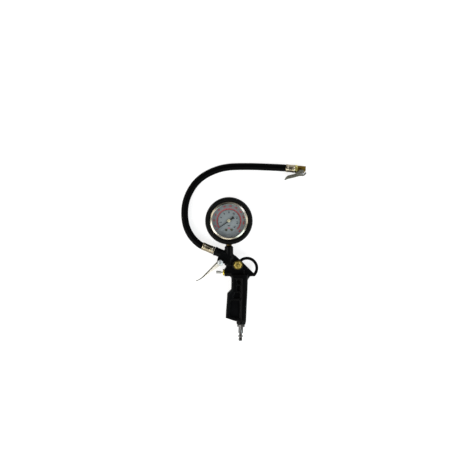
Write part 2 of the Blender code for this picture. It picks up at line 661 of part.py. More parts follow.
# pointer, drawn pointing along +X and turned to its place
blade = [
    (20.9, 0.3), (8.0, 0.8), (2.4, 0.95), (1.6, 1.7), (0, 2.1), (-1.6, 1.7), (-2.4, 0.9),
    (-5.8, 1.3), (-9.9, 2.7), (-9.9, -2.7), (-5.8, -1.3), (-2.4, -0.9), (-1.6, -1.7), (0, -2.1),
    (1.6, -1.7), (2.4, -0.95), (8.0, -0.8), (20.9, -0.3),
]
blade = [shifted(turn(p, POINTER_REST), GAUGE) for p in blade]
pointer = slab("pointer", POINTER_BLACK, blade, POINTER_Z, POINTER_Z + 0.5)
combine(pointer, [rod("c", POINTER_BLACK, 0.9, gauge_base, (0, 0, 1), 20, 32, 14)], "DIFFERENCE")
smooth(pointer)
hub = [(0.9, 28.8), (2.5, 28.8), (2.5, 29.9), (2.0, 30.4), (0.9, 30.4)]
smooth(turned("pointer_hub", BRASS, hub, gauge_base, steps=20))

# ---- hose and its end fittings ----------------------------------------------------

fitting = [
    (2.0, -9.4), (4.2, -9.4), (4.2, 0.3), (6.3, 0.3), (6.6, 0.7), (6.6, 3.6),
    (6.3, 4.0), (2.0, 4.0),
]
out_axis = flat_axis(BARREL_SLOPE + 180)
smooth(turned("hose_fitting", NICKEL, fitting, barrel_base, out_axis, 22))
FERRULE_IN = HOSE_R + 0.25


def ferrule(name, mat, base, axis, start, stop):
    """A crimped sleeve: a plain ring at each end and a pressed band between."""
    a, b = start, stop
    profile = [
        (FERRULE_IN, a), (6.55, a), (6.6, a + 0.3), (6.6, a + 3.0), (6.36, a + 3.4),
        (6.36, b - 4.4), (6.55, b - 4.0), (6.55, b - 2.2), (6.6, b - 1.8), (6.6, b - 0.3),
        (6.45, b), (FERRULE_IN, b),
    ]
    smooth(turned(name, mat, profile, base, axis, 22))


ferrule("hose_ferrule_body_end", NICKEL, barrel_base, out_axis, 4.3, 21.4)

chuck_axis = flat_axis(CHUCK_SLOPE)
ferrule("hose_ferrule_chuck_end", NICKEL, CHUCK, flat_axis(CHUCK_SLOPE + 180), 11.5, 26.4)


def on_axis(base, slope, distance):
    x, y = turn((distance, 0), slope)
    return (base[0] + x, base[1] + y)


start_a = on_axis(BARREL_END, BARREL_SLOPE + 180, 5.2)
start_b = on_axis(BARREL_END, BARREL_SLOPE + 180, 21.4)
start_c = on_axis(BARREL_END, BARREL_SLOPE + 180, 25.0)
end_a = on_axis(CHUCK[:2], CHUCK_SLOPE + 180, 29.0)
end_b = on_axis(CHUCK[:2], CHUCK_SLOPE + 180, 26.4)
end_c = on_axis(CHUCK[:2], CHUCK_SLOPE + 180, 12.4)
HOSE_ROUTE = [
    (*start_a, 14.0), (*start_b, 14.0), (*start_c, 13.7),
    (-50.5, 44.8, 12.4), (-57.6, 52.4, 10.4), (-63.4, 61.5, 8.3), (-67.3, 71.0, 6.8),
    (-69.4, 81.0, 6.1), (-70.2, 91.5, 5.8), (-69.6, 102.0, 5.8), (-67.3, 113.5, 5.8),
    (-62.6, 125.5, 5.8), (-55.0, 138.2, 5.8), (-45.6, 148.4, 5.8), (-34.6, 156.2, 5.8),
    (-22.4, 162.1, 5.8), (-9.4, 166.4, 5.8), (4.0, 168.7, 5.8), (17.5, 169.4, 5.8),
    (31.0, 169.5, 5.8), (45.0, 169.4, 5.8), (59.0, 168.9, 5.8), (73.0, 168.3, 5.9),
    (86.0, 167.7, 6.6), (*end_a, 7.3), (*end_b, 7.4), (*end_c, 7.4),
]


def along_route(route, spacing):
    """Points a set distance apart on a smooth curve through the route."""
    fine = []
    for k in range(len(route) - 1):
        p0 = Vector(route[max(k - 1, 0)])
        p1, p2 = Vector(route[k]), Vector(route[k + 1])
        p3 = Vector(route[min(k + 2, len(route) - 1)])
        span = (p2 - p1).length
        m1 = (p2 - p0) * span / max((p2 - p1).length + (p1 - p0).length, 1e-9)
        m2 = (p3 - p1) * span / max((p3 - p2).length + (p2 - p1).length, 1e-9)
        for j in range(16):
            t = j / 16
            a = 2 * t**3 - 3 * t**2 + 1
            b = t**3 - 2 * t**2 + t
            c = -2 * t**3 + 3 * t**2
            d = t**3 - t**2
            fine.append(p1 * a + m1 * b + p2 * c + m2 * d)
    fine.append(Vector(route[-1]))
    total = sum((b - a).length for a, b in zip(fine, fine[1:]))
    count = max(2, round(total / spacing))
    picked, travelled, target = [fine[0]], 0.0, total / count
    for a, b in zip(fine, fine[1:]):
        travelled += (b - a).length
        while travelled >= target * len(picked) and len(picked) < count:
            picked.append(b)
    picked.append(fine[-1])
    return picked


hose_curve = bpy.data.curves.new("hose", "CURVE")
hose_curve.dimensions = "3D"
hose_curve.bevel_depth = HOSE_R * MM
hose_curve.bevel_resolution = 4
hose_curve.use_fill_caps = True
hose_spline = hose_curve.splines.new("POLY")
hose_points = along_route(HOSE_ROUTE, 10.0)
hose_spline.points.add(len(hose_points) - 1)
for slot, point in zip(hose_spline.points, hose_points):
    slot.co = (*(point * MM), 1.0)
hose = bpy.data.objects.new("hose", hose_curve)
hose_curve.materials.append(HOSE_RUBBER)
bpy.context.scene.collection.objects.link(hose)

# ---- chuck ------------------------------------------------------------------------


def on_chuck(along, side):
    """A point in the chuck's frame: along its bore towards the mouth, and to its side."""
    return shifted(turn((along, side), CHUCK_SLOPE), CHUCK[:2])


nut = [
    (2.2, -11.2), (6.2, -11.2), (6.9, -10.6), (6.9, -7.9), (6.2, -7.3), (2.2, -7.3),
]
smooth(turned("chuck_nut", BRASS, nut, CHUCK, chuck_axis, 6))
shell = [
    (1.5, -7.0), (5.6, -7.0), (6.0, -6.6), (6.0, 5.6), (5.5, 6.2), (4.7, 6.2), (4.4, 5.7),
    (4.4, -3.6), (1.5, -3.6),
]
chuck_body = turned("chuck_body", BRASS, shell, CHUCK, chuck_axis, 24)
PX, PY = CLIP_PIVOT
cheek = [(PX - 3.0, -5.0), (PX + 2.6, -5.0), (PX + 1.8, PY - 1.8), (PX - 1.8, PY - 1.8)]
chuck_lug = slab("c", BRASS, [on_chuck(*p) for p in cheek], CHUCK[2] - 2.6, CHUCK[2] + 2.6)
combine(chuck_body, [chuck_lug], "UNION")
pin_at = on_chuck(PX, PY)
jaw_slot = [(PX + 2.4, -3.5), (7.2, -3.5), (7.2, -7.5), (PX + 2.4, -7.5)]
mouth_notch = [(4.4, -3.1), (7.2, -3.1), (7.2, -7.5), (4.4, -7.5)]
combine(
    chuck_body,
    [
        rod("c", BRASS, 1.3, (*pin_at, 0), (0, 0, 1), -5, 20, 14),
        slab("c", BRASS, [on_chuck(*p) for p in jaw_slot], CHUCK[2] - 2.3, CHUCK[2] + 2.3),
        slab("c", BRASS, [on_chuck(*p) for p in mouth_notch], 0, 2 * CHUCK[2]),
    ],
    "DIFFERENCE",
)
smooth(chuck_body)
seal_ring = [(1.6, -3.3), (4.1, -3.3), (4.1, -0.9), (3.6, -0.4), (1.6, -0.4)]
smooth(turned("chuck_seal", SEAL, seal_ring, CHUCK, chuck_axis, 20))
opener = [(0, -6.0), (0.9, -6.0), (1.1, -1.0), (0.6, 0.6), (0, 0.8)]
smooth(turned("chuck_core_pin", BRASS, opener, CHUCK, chuck_axis, 14))

clip_line = [
    (-3.9, -1.2), (3.3, -1.0), (3.3, -4.0), (2.9, -8.2), (2.2, -10.5), (-2.6, -11.1),
    (-9.0, -13.5), (-15.6, -15.8), (-22.0, -17.7), (-25.6, -20.0), (-27.0, -19.2),
    (-25.0, -15.2), (-22.8, -12.4), (-17.0, -10.4), (-11.0, -8.3), (-7.2, -5.0),
]
clip_web = [
    (2.2, -10.5), (-2.6, -11.1), (-9.0, -13.5), (-15.6, -15.8), (-22.0, -17.7), (-25.6, -20.0),
    (-26.2, -19.1), (-22.4, -16.7), (-15.9, -14.7), (-9.3, -12.4), (-2.7, -10.1), (2.0, -9.6),
]
clip_line = [on_chuck(*p) for p in clip_line]
zc = CHUCK[2]
clip = slab("chuck_lever", STEEL, clip_line, zc + 6.3, zc + 7.4, 0.25, 1)
web_slab = slab("c", STEEL, [on_chuck(*p) for p in clip_web], zc - 7.4, zc + 7.4)
far_plate = slab("c", STEEL, clip_line, zc - 7.4, zc - 6.3, 0.25, 1)
jaw_line = [
    (1.0, -10.4), (1.2, -9.8), (2.9, -9.1), (4.4, -7.2), (5.4, -4.5), (7.0, -4.1), (8.3, -5.2),
    (7.5, -7.0), (5.6, -9.4), (3.2, -11.0),
]
jaw = slab("c", STEEL, [on_chuck(*p) for p in jaw_line], zc - 1.9, zc + 1.9)
combine(clip, [web_slab, far_plate, jaw], "UNION")
combine(clip, [rod("c", STEEL, 1.3, (*pin_at, 0), (0, 0, 1), -5, 20, 14)], "DIFFERENCE")
smooth(clip)
pin = [(0, 0.1), (1.0, 0.1), (1.0, zc + 7.7), (1.9, zc + 7.7), (1.7, zc + 8.4), (0, zc + 8.5)]
smooth(turned("chuck_pivot_pin", STEEL, pin, (*pin_at, 0), steps=16))
clip_coil = coil((*pin_at, zc + 3.2), (0, 0, 1), 1.75, 2.2, 2.5, 12, 200)
clip_leg = [
    (*shifted(pin_at, turn((-6.2, 0.4), CHUCK_SLOPE)), zc + 3.2),
    (*shifted(pin_at, turn((-3.4, 0.6), CHUCK_SLOPE)), zc + 3.2),
]
smooth(wire("chuck_spring", STEEL, [*clip_leg, *clip_coil], 0.3), 60)
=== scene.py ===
import json
import math

import bmesh
import bpy
from mathutils import Matrix, Vector


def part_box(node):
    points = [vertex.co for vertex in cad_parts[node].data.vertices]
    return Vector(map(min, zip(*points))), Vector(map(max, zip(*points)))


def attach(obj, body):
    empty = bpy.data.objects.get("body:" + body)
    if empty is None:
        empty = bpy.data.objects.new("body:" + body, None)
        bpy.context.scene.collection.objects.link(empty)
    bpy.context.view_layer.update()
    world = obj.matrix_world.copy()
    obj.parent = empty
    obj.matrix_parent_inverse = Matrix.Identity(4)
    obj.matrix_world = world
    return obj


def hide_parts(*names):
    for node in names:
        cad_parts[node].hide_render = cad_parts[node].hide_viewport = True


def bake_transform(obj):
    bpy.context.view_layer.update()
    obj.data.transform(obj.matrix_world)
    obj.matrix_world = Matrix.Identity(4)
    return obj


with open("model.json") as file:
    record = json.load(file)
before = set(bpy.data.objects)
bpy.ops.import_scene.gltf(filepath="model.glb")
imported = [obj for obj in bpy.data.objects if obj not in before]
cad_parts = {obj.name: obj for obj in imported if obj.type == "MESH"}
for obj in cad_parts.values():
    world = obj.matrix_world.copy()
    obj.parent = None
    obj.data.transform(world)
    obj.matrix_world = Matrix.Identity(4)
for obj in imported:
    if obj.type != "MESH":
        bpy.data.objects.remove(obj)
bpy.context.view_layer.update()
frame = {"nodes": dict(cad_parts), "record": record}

MM = 0.001
UP = Vector((0, 0, 1))
BODIES = frame["record"]["behaviour"]["bodies"]
NODE_BODY = {node: body for body, nodes in BODIES.items() for node in nodes}


def middle(node):
    low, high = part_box(node)
    return (low + high) / 2


def upright(node):
    """The vertical line through a node's middle, as (point, axis)."""
    return middle(node), UP


def direction(azimuth, elevation):
    """The unit vector that points there, with azimuth anticlockwise from +X, both in degrees."""
    a, e = math.radians(azimuth), math.radians(elevation)
    return Vector((math.cos(a) * math.cos(e), math.sin(a) * math.cos(e), math.sin(e)))


# ---- camera and hose --------------------------------------------------------------

# in mm: the point of the floor in the middle of the picture, and the camera's height over it
PHOTO_CENTRE = (-1.7, 71.0)
CAMERA_HIGH = 2085.7

camera_data = bpy.data.cameras.new("camera")
camera_data.lens = 100
camera_data.sensor_width = 36
camera_data.clip_start, camera_data.clip_end = 0.05, 20
camera = bpy.data.objects.new("camera", camera_data)
camera.location = Vector((*PHOTO_CENTRE, CAMERA_HIGH)) * MM
bpy.context.scene.collection.objects.link(camera)
bpy.context.scene.camera = camera

HOSE_R = 5.8
HOSE_STEP, HOSE_AROUND = 1.6, 32  # mm from ring to ring, and corners of each ring
HOSE_END_ROUND = 0.25
# the hose's middle line in mm, from the gun to the chuck
HOSE_ROUTE = [
    (-25.5, 32.1, 14.0), (-40.5, 38.2, 14.0), (-43.9, 39.6, 13.7), (-50.5, 44.8, 12.4),
    (-57.6, 52.4, 10.4), (-63.4, 61.5, 8.3), (-67.3, 71.0, 6.8), (-69.4, 81.0, 6.1),
    (-70.2, 91.5, 5.8), (-69.6, 102.0, 5.8), (-67.3, 113.5, 5.8), (-62.6, 125.5, 5.8),
    (-55.0, 138.2, 5.8), (-45.6, 148.4, 5.8), (-34.6, 156.2, 5.8), (-22.4, 162.1, 5.8),
    (-9.4, 166.4, 5.8), (4.0, 168.7, 5.8), (17.5, 169.4, 5.8), (31.0, 169.5, 5.8),
    (45.0, 169.4, 5.8), (59.0, 168.9, 5.8), (73.0, 168.3, 5.9), (86.0, 167.7, 6.6),
    (94.8, 167.1, 7.3), (97.4, 166.9, 7.4), (111.3, 165.7, 7.4),
]


def smooth_line(route, spacing):
    """Points about spacing apart on a smooth curve through the route."""
    fine = []
    for k in range(len(route) - 1):
        p0 = Vector(route[max(k - 1, 0)])
        p1, p2 = Vector(route[k]), Vector(route[k + 1])
        p3 = Vector(route[min(k + 2, len(route) - 1)])
        span = (p2 - p1).length
        m1 = (p2 - p0) * span / max((p2 - p1).length + (p1 - p0).length, 1e-9)
        m2 = (p3 - p1) * span / max((p3 - p2).length + (p2 - p1).length, 1e-9)
        steps = max(1, round(span / spacing))
        for j in range(steps):
            t = j / steps
            at_p1, at_m1 = 2 * t**3 - 3 * t**2 + 1, t**3 - 2 * t**2 + t
            at_p2, at_m2 = -2 * t**3 + 3 * t**2, t**3 - t**2
            fine.append(p1 * at_p1 + m1 * at_m1 + p2 * at_p2 + m2 * at_m2)
    fine.append(Vector(route[-1]))
    return fine


def new_object(name, bm, material, sharp):
    """A new object from a bmesh in metres, smooth-shaded up to the sharp angle."""
    mesh = bpy.data.meshes.new(name)
    bm.to_mesh(mesh)
    bm.free()
    mesh.shade_smooth()
    mesh.set_sharp_from_angle(angle=math.radians(sharp))
    mesh.materials.append(material)
    made = bpy.data.objects.new(name, mesh)
    bpy.context.scene.collection.objects.link(made)
    return made


def add_piece(name, bm, material, body, sharp=38):
    """A new piece that rides on one body."""
    bmesh.ops.recalc_face_normals(bm, faces=bm.faces)
    piece = new_object(name, bm, material, sharp)
    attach(piece, body)
    return piece


# ---- material graphs --------------------------------------------------------------


def put(tree, kind, inputs=None, **settings):
    """Adds a shader node. An input that is a socket is linked, any other is set."""
    node = tree.nodes.new("ShaderNode" + kind)
    for name, value in settings.items():
        setattr(node, name, value)
    for name, value in (inputs or {}).items():
        if isinstance(value, bpy.types.NodeSocket):
            tree.links.new(value, node.inputs[name])
        else:
            node.inputs[name].default_value = value
    return node


def blank(name):
    """An empty material: itself, its node tree and its output."""
    material = bpy.data.materials.new(name)
    material.use_nodes = True
    tree = material.node_tree
    tree.nodes.clear()
    output = put(tree, "OutputMaterial")
    return material, tree, output


def ramp(tree, value, low, high, out_low=0.0, out_high=1.0):
    return put(
        tree, "MapRange",
        {0: value, 1: low, 2: high, 3: out_low, 4: out_high}, clamp=True,
    ).outputs[0]


def mixed(tree, factor, first, second):
    """The first colour at factor 0, the second at 1."""
    return put(tree, "Mix", {0: factor, 6: first, 7: second}, data_type="RGBA").outputs[2]


def maths(tree, operation, *values):
    return put(tree, "Math", dict(enumerate(values)), operation=operation).outputs[0]


def vector_maths(tree, operation, *values):
    return put(tree, "VectorMath", dict(enumerate(values)), operation=operation)


def noise(tree, coords, scale, detail=4.0, rough=0.55):
    return put(
        tree, "TexNoise",
        {"Vector": coords, "Scale": scale, "Detail": detail, "Roughness": rough},
    ).outputs[0]


def turned_coords(tree, point, centre, axis):
    """(distance along the axis, distance from it): the marks of a lathe."""
    axis = Vector(axis).normalized()
    offset = vector_maths(tree, "SUBTRACT", point, centre).outputs[0]
    along = vector_maths(tree, "DOT_PRODUCT", offset, axis).outputs["Value"]
    shadow = put(tree, "VectorMath", {0: axis, "Scale": along}, operation="SCALE").outputs[0]
    across = vector_maths(tree, "SUBTRACT", offset, shadow).outputs[0]
    radius = vector_maths(tree, "LENGTH", across).outputs["Value"]
    return put(tree, "CombineXYZ", {"X": along, "Y": radius}).outputs[0]


def rgba(colour):
    return (*colour, 1.0)


EDGE_BLUR = 0.0001  # metres on either side over which one tone turns into the next


def finish_of(
    name, dark, light, rough, metallic=0.0, broad=90.0, grain=2500.0, bump=0.1,
    depth=0.00005, lathe=None, stretch=None, worn=None, rim=None, above=None, **constants,
):
    """A worn, grained surface. Colour drifts between dark and light, rough is (low, high).

    lathe is (centre, axis) of turning marks, stretch is (turn, scale) of drawn marks, and
    worn is (tone, low, high) for bare edges. rim is (tone, way, reach): a painted shade, the
    tone of flat faces further out that way than reach. above is (tone, height): the tone over
    that height.
    """
    material, tree, output = blank(name)
    point = put(tree, "TexCoord").outputs["Object"]
    marks = point
    if lathe:
        marks = turned_coords(tree, point, *lathe)
    if stretch:
        turn, scale = stretch
        marks = put(tree, "Mapping", {"Vector": point, "Rotation": turn, "Scale": scale}).outputs[0]
    drift = noise(tree, point, broad, 3)
    fine = noise(tree, marks, grain, 5, 0.6)
    speck = noise(tree, point, grain * 0.35, 6, 0.65)
    shade = ramp(tree, maths(tree, "ADD", drift, speck), 0.75, 1.25)
    colour = mixed(tree, shade, rgba(dark), rgba(light))
    # rim paints shade: flat faces beyond the plane take the dark tone
    if rim:
        tone, way, reach = rim
        level = put(tree, "SeparateXYZ", {0: put(tree, "NewGeometry").outputs["Normal"]}).outputs[2]
        flat = ramp(tree, maths(tree, "ABSOLUTE", level), 0.3, 0.6)
        out = vector_maths(tree, "DOT_PRODUCT", point, way).outputs["Value"]
        beyond = ramp(tree, out, reach - EDGE_BLUR, reach + EDGE_BLUR)
        edge = maths(tree, "MULTIPLY", flat, beyond)
        colour = mixed(tree, edge, colour, rgba(tone))
    if above:
        tone, height = above
        high = put(tree, "SeparateXYZ", {0: point}).outputs[2]
        over = ramp(tree, high, height - EDGE_BLUR, height + EDGE_BLUR)
        colour = mixed(tree, over, colour, rgba(tone))
    uneven = maths(tree, "ADD", fine, drift)
    roughness = ramp(tree, uneven, 0.7, 1.3, rough[0], rough[1])
    if worn:
        wear_colour, low, high = worn
        edge = put(tree, "NewGeometry").outputs["Pointiness"]
        chipped = maths(tree, "MULTIPLY", speck, 0.12)
        sum_edge = maths(tree, "ADD", edge, chipped)
        colour = mixed(tree, ramp(tree, sum_edge, low, high), colour, rgba(wear_colour))
    relief = maths(tree, "ADD", fine, speck)
    normal = put(tree, "Bump", {"Height": relief, "Strength": bump, "Distance": depth}).outputs[0]
    shader = put(
        tree, "BsdfPrincipled",
        {"Base Color": colour, "Roughness": roughness, "Normal": normal, "Metallic": metallic},
    )
    for socket, value in constants.items():
        shader.inputs[socket.replace("_", " ")].default_value = value
    tree.links.new(shader.outputs[0], output.inputs[0])
    return material


def black_coat():
    return finish_of(
        "black_powder_coat", (0.0009, 0.0009, 0.0010), (0.0018, 0.0019, 0.0022), (0.27, 0.38),
        broad=55, grain=2600, bump=0.16,
        worn=((0.006, 0.007, 0.009), 0.60, 0.78), Specular_IOR_Level=0.05,
    )


def boot_rubber():
    return finish_of(
        "boot_rubber", (0.0009, 0.0010, 0.0010), (0.0020, 0.0022, 0.0021), (0.42, 0.56),
        broad=70, grain=3600, bump=0.25, depth=0.00004,
        worn=((0.003, 0.0033, 0.0031), 0.60, 0.80), Specular_IOR_Level=0.045,
    )


def seal_rubber():
    return finish_of(
        "seal_rubber", (0.006, 0.006, 0.006), (0.014, 0.014, 0.014), (0.6, 0.8),
        grain=3000, bump=0.3,
    )


def brass(name, lathe, dark=(0.30, 0.22, 0.045), light=(0.58, 0.47, 0.13), rough=(0.2, 0.36)):
    return finish_of(
        name, dark, light, rough, 1.0, broad=160, grain=5200, bump=0.16, depth=0.00003, lathe=lathe,
    )


def nickel(name, lathe):
    return finish_of(
        name, (0.17, 0.145, 0.10), (0.40, 0.35, 0.25), (0.2, 0.36), 1.0,
        broad=170, grain=4200, bump=0.14, depth=0.00003, lathe=lathe,
    )


def steel(
    name, lathe=None, dark=(0.24, 0.24, 0.24), light=(0.5, 0.5, 0.5), rough=(0.26, 0.42),
    metallic=1.0,
):
    return finish_of(
        name, dark, light, rough, metallic,
        broad=200, grain=3600, bump=0.14, depth=0.00003, lathe=lathe,
    )


def dial_metal(name, dark, light, rough, metallic, node):
    """The finish of a small turned part on the dial."""
    return finish_of(
        name, dark, light, rough, metallic, broad=300, grain=5200, bump=0.1, lathe=upright(node),
    )


def hose_rubber():
    """Smooth black cover with the faint spiral print of its curing wrap. Its UVs are in mm."""
    material, tree, output = blank("hose_rubber")
    uv = put(tree, "UVMap", uv_map="along_around").outputs[0]
    point = put(tree, "TexCoord").outputs["Object"]
    split = put(tree, "SeparateXYZ", {0: uv})
    lean = maths(tree, "ADD", split.outputs[0], split.outputs[1])
    spiral = put(tree, "CombineXYZ", {"X": lean}).outputs[0]
    wrap = put(
        tree, "TexWave",
        {"Vector": spiral, "Scale": 0.35, "Distortion": 0.6, "Detail": 2.0, "Detail Scale": 3.0},
        wave_profile="SIN",
    ).outputs["Fac"]
    fine = noise(tree, point, 3200, 5, 0.6)
    drift = noise(tree, point, 45, 3)
    scuffs = put(tree, "Mapping", {"Vector": uv, "Scale": (0.12, 2.2, 1)}).outputs[0]
    scuff = noise(tree, scuffs, 9, 4, 0.6)
    shade = ramp(tree, scuff, 0.52, 0.8)
    colour = mixed(tree, shade, rgba((0.0003, 0.0003, 0.0004)), rgba((0.0010, 0.0011, 0.0013)))
    rough = maths(tree, "ADD", drift, scuff)
    roughness = ramp(tree, rough, 0.7, 1.3, 0.34, 0.52)
    relief = maths(tree, "ADD", wrap, fine)
    normal = put(tree, "Bump", {"Height": relief, "Strength": 0.16, "Distance": 0.00008}).outputs[0]
    shader = put(
        tree, "BsdfPrincipled",
        {"Base Color": colour, "Roughness": roughness, "Normal": normal,
         "Specular IOR Level": 0.03},
    )
    tree.links.new(shader.outputs[0], output.inputs[0])
    return material


def hose_tube():
    """The hose as a round tube along its route: the piece, and the points of its middle line."""
    line = [p * MM for p in smooth_line(HOSE_ROUTE, HOSE_STEP)]
    bm = bmesh.new()
    uv_layer = bm.loops.layers.uv.new("along_around")
    side = None
    rings, travel = [], [0.0]
    for k, p in enumerate(line):
        ahead = line[min(k + 1, len(line) - 1)] - line[max(k - 1, 0)]
        ahead.normalize()
        side = UP.cross(ahead) if side is None else side - ahead * side.dot(ahead)
        side.normalize()
        lift = ahead.cross(side)
        end_round = HOSE_END_ROUND if k in (0, len(line) - 1) else 0.0
        radius = (HOSE_R - end_round) * MM
        ring = []
        for j in range(HOSE_AROUND):
            a = 2 * math.pi * j / HOSE_AROUND
            ring.append(bm.verts.new(p + (side * math.cos(a) + lift * math.sin(a)) * radius))
        rings.append(ring)
        if k:
            travel.append(travel[-1] + (p - line[k - 1]).length)
    for k in range(len(rings) - 1):
        for j in range(HOSE_AROUND):
            n = (j + 1) % HOSE_AROUND
            face = bm.faces.new((rings[k][j], rings[k][n], rings[k + 1][n], rings[k + 1][j]))
            corners = ((k, j), (k, j + 1), (k + 1, j + 1), (k + 1, j))
            for loop, (row, column) in zip(face.loops, corners):
                girth = column / HOSE_AROUND * 2 * math.pi * HOSE_R
                loop[uv_layer].uv = (travel[row] / MM, girth)
    bm.faces.new(rings[0])
    bm.faces.new(rings[-1])
    tube = add_piece("hose_tube", bm, hose_rubber(), "gun", 60)
    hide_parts("hose")
    return tube, line


hose, hose_line = hose_tube()

# ---- shapes taken from the CAD nodes and finished ---------------------------------


FLAT_ANGLE, HARD_ANGLE = math.radians(0.8), math.radians(30)


def node_bmesh(node):
    bm = bmesh.new()
    bm.from_mesh(frame["nodes"][node].data)
    bmesh.ops.remove_doubles(bm, verts=bm.verts, dist=2e-7)
    return bm


def eased(node, material, width):
    """The CAD shape with its hard edges broken by a round of this width in mm."""
    bm = node_bmesh(node)
    bmesh.ops.dissolve_limit(bm, angle_limit=FLAT_ANGLE, verts=bm.verts, edges=bm.edges)
    hard = [
        e for e in bm.edges
        if len(e.link_faces) == 2 and e.calc_face_angle(0) > HARD_ANGLE
    ]
    bmesh.ops.bevel(
        bm, geom=hard, offset=width * MM, segments=2, profile=0.6, affect="EDGES",
        clamp_overlap=True,
    )
    bmesh.ops.triangulate(bm, faces=[f for f in bm.faces if len(f.verts) > 4])
    piece = add_piece(node + "_finished", bm, material, NODE_BODY[node])
    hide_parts(node)
    return piece


def moulded(node, material, voxel, passes):
    """The CAD shape remeshed at voxel mm and relaxed, as a casting or moulding leaves it."""
    bm = node_bmesh(node)
    piece = add_piece(node + "_moulded", bm, material, NODE_BODY[node], 180)
    grid = piece.modifiers.new("grid", "REMESH")
    grid.mode = "VOXEL"
    grid.voxel_size = voxel * MM
    grid.use_smooth_shade = True
    soft = piece.modifiers.new("soft", "SMOOTH")
    soft.factor = 0.5
    soft.iterations = passes
    bpy.context.view_layer.update()
    shown = piece.evaluated_get(bpy.context.evaluated_depsgraph_get())
    made = bpy.data.meshes.new_from_object(shown)
    piece.modifiers.clear()
    made.materials.clear()
    made.materials.append(material)
    piece.data = made
    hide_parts(node)
    return piece


def revolve(name, material, profile, base, axis, body, slot, steps, wobble=None):
    """A turned piece. profile is rows of (radius, distance) in mm.

    wobble(distance, angle, radius) is added to the radius.
    """
    axis = Vector(axis).normalized()
    across = axis.cross(UP)
    across = Vector((1, 0, 0)) if across.length < 1e-6 else across.normalized()
    over = axis.cross(across)
    bm = bmesh.new()
    rings = []
    for radius, distance in profile:
        ring = []
        for j in range(steps):
            a = 2 * math.pi * j / steps
            r = radius + (wobble(distance, a, radius) if wobble else 0.0)
            out = across * math.cos(a) + over * math.sin(a)
            ring.append(bm.verts.new(Vector(base) + axis * distance * MM + out * r * MM))
        rings.append(ring)
    for k in range(len(rings)):
        this, after = rings[k], rings[(k + 1) % len(rings)]
        for j in range(steps):
            n = (j + 1) % steps
            bm.faces.new((this[j], this[n], after[n], after[j]))
    return add_piece(name, bm, material, body)


body_shell = moulded("body_casting", black_coat(), 0.55, 3)
moulded("gauge_boot", boot_rubber(), 0.6, 4)

# ---- gauge ------------------------------------------------------------------------

gauge = Vector((*middle("gauge_bezel").xy, 0))
bezel_low, bezel_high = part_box("gauge_bezel")
BEZEL_R = (bezel_high.x - bezel_low.x) / 2 / MM
gauge_axis = (gauge, UP)

chrome = finish_of(
    "bezel_chrome", (0.16, 0.147, 0.118), (0.26, 0.243, 0.205), (0.14, 0.24), 1.0,
    broad=60, grain=4200, bump=0.015, depth=0.00001, lathe=gauge_axis,
)
BEZEL_WIDTH, BEZEL_FALL = 3.6, 1.25  # mm: the ring's width, and how far its face falls
SLOPE_STEPS = 8


def bezel_ring():
    """A pressed ring whose face falls outwards, a little steeper towards its rim."""
    top, foot = bezel_high.z / MM, bezel_low.z / MM
    inner, outer = BEZEL_R - BEZEL_WIDTH, BEZEL_R
    slope = []
    for k in range(SLOPE_STEPS + 1):
        t = k / SLOPE_STEPS
        across = 0.3 + t * (BEZEL_WIDTH - 0.75)
        slope.append((inner + across, top - BEZEL_FALL * (0.6 * t + 0.4 * t * t)))
    profile = [
        (inner + 0.5, top - 1.9), (outer - 0.7, top - 2.2), (outer - 0.7, foot),
        (outer, foot + 0.4), (outer, top - BEZEL_FALL - 0.45),
        (outer - 0.15, top - BEZEL_FALL - 0.15), *reversed(slope),
        (inner + 0.08, top - 0.1), (inner, top - 0.35), (inner, top - 1.6),
    ]
    ring = revolve("gauge_bezel_ring", chrome, profile, *gauge_axis, "gun", "chrome", 144)
    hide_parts("gauge_bezel")


bezel_ring()


def dial_paint():
    """Matt grey-white printed plate, a little darker towards its rim by a painted shade from the
    bezel.
    """
    material, tree, output = blank("dial_paint")
    point = put(tree, "TexCoord").outputs["Object"]
    from_middle = put(tree, "SeparateXYZ", {0: turned_coords(tree, point, *gauge_axis)}).outputs[1]
    drift = noise(tree, point, 60, 3)
    fine = noise(tree, point, 5200, 4)
    # painted shade: towards the bezel the plate turns to the rim tone
    rim = ramp(tree, from_middle, 0.021, 0.0285)
    patch = ramp(tree, drift, 0.3, 0.7)
    face = mixed(tree, patch, rgba((0.165, 0.177, 0.182)), rgba((0.19, 0.202, 0.207)))
    colour = mixed(tree, rim, face, rgba((0.175, 0.187, 0.192)))
    roughness = ramp(tree, drift, 0.3, 0.7, 0.5, 0.62)
    normal = put(tree, "Bump", {"Height": fine, "Strength": 0.1, "Distance": 0.00003}).outputs[0]
    shader = put(
        tree, "BsdfPrincipled",
        {"Base Color": colour, "Roughness": roughness, "Normal": normal},
    )
    tree.links.new(shader.outputs[0], output.inputs[0])
    return material


def ink(name, dark, light):
    return finish_of(name, dark, light, (0.45, 0.6), broad=300, grain=5200, bump=0.1)


dial_black = ink("dial_black_ink", (0.006, 0.006, 0.007), (0.016, 0.016, 0.018))
dial_red = ink("dial_red_ink", (0.26, 0.012, 0.018), (0.42, 0.03, 0.035))
DIAL_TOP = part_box("dial_plate")[1].z / MM
PRINT_LOW, PRINT_HIGH = DIAL_TOP + 0.02, DIAL_TOP + 0.07
SCALE_START, SCALE_END, ZERO_STOP = 225.0, -45.0, 216.0  # degrees
BAR_SPAN, PSI_SPAN = 16.0, 232.0
RED_RADIUS, BLACK_RADIUS = 19.3, 18.2
MAJOR_WIDTH, MINOR_WIDTH = 0.42, 0.24
MINOR_SHARE = 0.55  # a minor tick's length beside a major one's
CAPITAL_SHARE = 0.7  # a capital's height beside the font's size
BOLDER = 0.055  # how far a letter's outline is pushed out, beside its height


def dial_angle(value, span):
    return SCALE_START + (SCALE_END - SCALE_START) * value / span


def polar(radius, degrees):
    a = math.radians(degrees)
    return Vector((gauge.x + radius * MM * math.cos(a), gauge.y + radius * MM * math.sin(a), 0))


